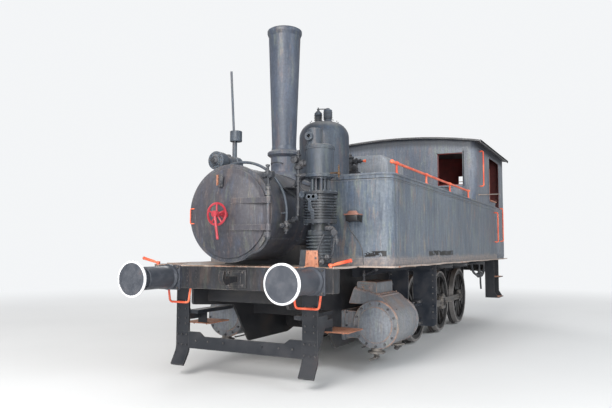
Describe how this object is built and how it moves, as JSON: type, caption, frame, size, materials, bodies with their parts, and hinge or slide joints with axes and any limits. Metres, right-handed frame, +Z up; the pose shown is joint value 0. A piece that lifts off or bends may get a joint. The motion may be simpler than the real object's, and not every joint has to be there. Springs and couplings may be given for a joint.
{
  "type": "steam locomotive",
  "caption": "Side-tank steam locomotive with outside cylinders, coupled spoked wheels, tall tapered chimney, dome, front air compressor and a rear cab with opening doors.",
  "frame": {"origin": "on the centre line midway between the buffer faces, level with the lowest points of the wheel flanges", "axes": "+X towards the smokebox end, +Y towards the left side, +Z up"},
  "size_m": [8.8, 3.1, 4.0303],
  "materials": {
    "body_paint": "dull weathered blue-black paint",
    "frame_paint": "dirty black paint",
    "roof_paint": "weathered grey-black paint",
    "rail_red": "worn red paint",
    "rusty_plate": "rust-stained plate",
    "wheel_steel": "oily black with a bright tread",
    "axle_steel": "oily turned steel",
    "rod_steel": "oily grey steel",
    "compressor_iron": "grey-black cast iron",
    "buffer_iron": "greasy black iron",
    "cab_red": "dark red paint",
    "floor_wood": "dark oiled planks"
  },
  "bodies": {
    "engine": {"main_frames": "frame_paint", "buffer_beams": "frame_paint", "buffers": "buffer_iron", "running_plate": "rusty_plate", "front_guards": "frame_paint", "rear_steps": "rusty_plate", "axle_boxes": "frame_paint", "brake_gear": "frame_paint", "cylinders": "body_paint", "slide_bars": "frame_paint", "smokebox": "body_paint", "boiler": "body_paint", "firebox": "frame_paint", "chimney": "body_paint", "dome": "body_paint", "sandbox": "body_paint", "generator": "compressor_iron", "compressor_air_cylinders": "compressor_iron", "compressor_steam_cylinder": "compressor_iron", "side_tanks": "body_paint", "handrails": "rail_red", "cab_front": "body_paint", "cab_sides": "body_paint", "cab_rear": "body_paint", "cab_floor": "floor_wood", "cab_roof": "roof_paint", "cab_fittings": "cab_red"},
    "driving_wheelset": {"driving_wheels": "wheel_steel", "driving_axle": "axle_steel"},
    "leading_wheelset": {"leading_wheels": "wheel_steel", "leading_axle": "axle_steel"},
    "trailing_wheelset": {"trailing_wheels": "wheel_steel", "trailing_axle": "axle_steel"},
    "left_coupling_rod": {"left_coupling_rod": "rod_steel"},
    "right_coupling_rod": {"right_coupling_rod": "rod_steel"},
    "left_connecting_rod": {"left_connecting_rod": "rod_steel"},
    "right_connecting_rod": {"right_connecting_rod": "rod_steel"},
    "left_crosshead": {"left_crosshead": "rod_steel"},
    "right_crosshead": {"right_crosshead": "rod_steel"},
    "left_filler_lid": {"left_filler_lid": "body_paint"},
    "right_filler_lid": {"right_filler_lid": "body_paint"},
    "left_cab_door": {"left_cab_door": "body_paint"},
    "right_cab_door": {"right_cab_door": "body_paint"},
    "smokebox_door": {"smokebox_door": "body_paint", "door_handwheel": "rail_red"}
  },
  "joints": [
    {"name": "driving_axle_turn", "type": "hinge", "parent": "engine", "child": "driving_wheelset", "pos_m": [-1.1, 0, 0.53], "axis": [0, 1, 0], "continuous": true},
    {"name": "leading_axle_turn", "type": "hinge", "parent": "engine", "child": "leading_wheelset", "pos_m": [0.25, 0, 0.53], "axis": [0, 1, 0], "continuous": true},
    {"name": "trailing_axle_turn", "type": "hinge", "parent": "engine", "child": "trailing_wheelset", "pos_m": [-2.45, 0, 0.53], "axis": [0, 1, 0], "continuous": true},
    {"name": "left_coupling_rod_pin", "type": "hinge", "parent": "driving_wheelset", "child": "left_coupling_rod", "pos_m": [-0.85, 0.8575, 0.53], "axis": [0, 1, 0], "continuous": true},
    {"name": "left_connecting_rod_pin", "type": "hinge", "parent": "driving_wheelset", "child": "left_connecting_rod", "pos_m": [-0.85, 0.9165, 0.53], "axis": [0, 1, 0], "continuous": true},
    {"name": "left_crosshead_slide", "type": "slide", "parent": "engine", "child": "left_crosshead", "axis": [-1, 0, 0], "range_m": [0, 0.5]},
    {"name": "right_coupling_rod_pin", "type": "hinge", "parent": "driving_wheelset", "child": "right_coupling_rod", "pos_m": [-1.1, -0.8575, 0.28], "axis": [0, 1, 0], "continuous": true},
    {"name": "right_connecting_rod_pin", "type": "hinge", "parent": "driving_wheelset", "child": "right_connecting_rod", "pos_m": [-1.1, -0.9165, 0.28], "axis": [0, 1, 0], "continuous": true},
    {"name": "right_crosshead_slide", "type": "slide", "parent": "engine", "child": "right_crosshead", "axis": [-1, 0, 0], "range_m": [-0.2633, 0.2367]},
    {"name": "smokebox_door_hinge", "type": "hinge", "parent": "engine", "child": "smokebox_door", "pos_m": [3.988, 0.488, 1.752], "axis": [0, 0, 1], "range_deg": [0, 120]},
    {"name": "left_cab_door_hinge", "type": "hinge", "parent": "engine", "child": "left_cab_door", "pos_m": [-3.2285, 1.397, 1.73], "axis": [0, 0, -1], "range_deg": [0, 85]},
    {"name": "left_filler_lid_hinge", "type": "hinge", "parent": "engine", "child": "left_filler_lid", "pos_m": [0.2, 0.896, 2.302], "axis": [1, 0, 0], "range_deg": [0, 100]},
    {"name": "right_cab_door_hinge", "type": "hinge", "parent": "engine", "child": "right_cab_door", "pos_m": [-3.2285, -1.397, 1.73], "axis": [0, 0, 1], "range_deg": [0, 85]},
    {"name": "right_filler_lid_hinge", "type": "hinge", "parent": "engine", "child": "right_filler_lid", "pos_m": [0.2, -0.896, 2.302], "axis": [-1, 0, 0], "range_deg": [0, 100]}
  ],
  "couplings": [
    {"joint": "leading_axle_turn", "follows": "driving_axle_turn", "ratio": 1},
    {"joint": "trailing_axle_turn", "follows": "driving_axle_turn", "ratio": 1},
    {"joint": "left_coupling_rod_pin", "follows": "driving_axle_turn", "ratio": -1},
    {"joint": "left_connecting_rod_pin", "follows": "driving_axle_turn", "ratio": -1},
    {"joint": "right_coupling_rod_pin", "follows": "driving_axle_turn", "ratio": -1},
    {"joint": "right_connecting_rod_pin", "follows": "driving_axle_turn", "ratio": -1}
  ]
}
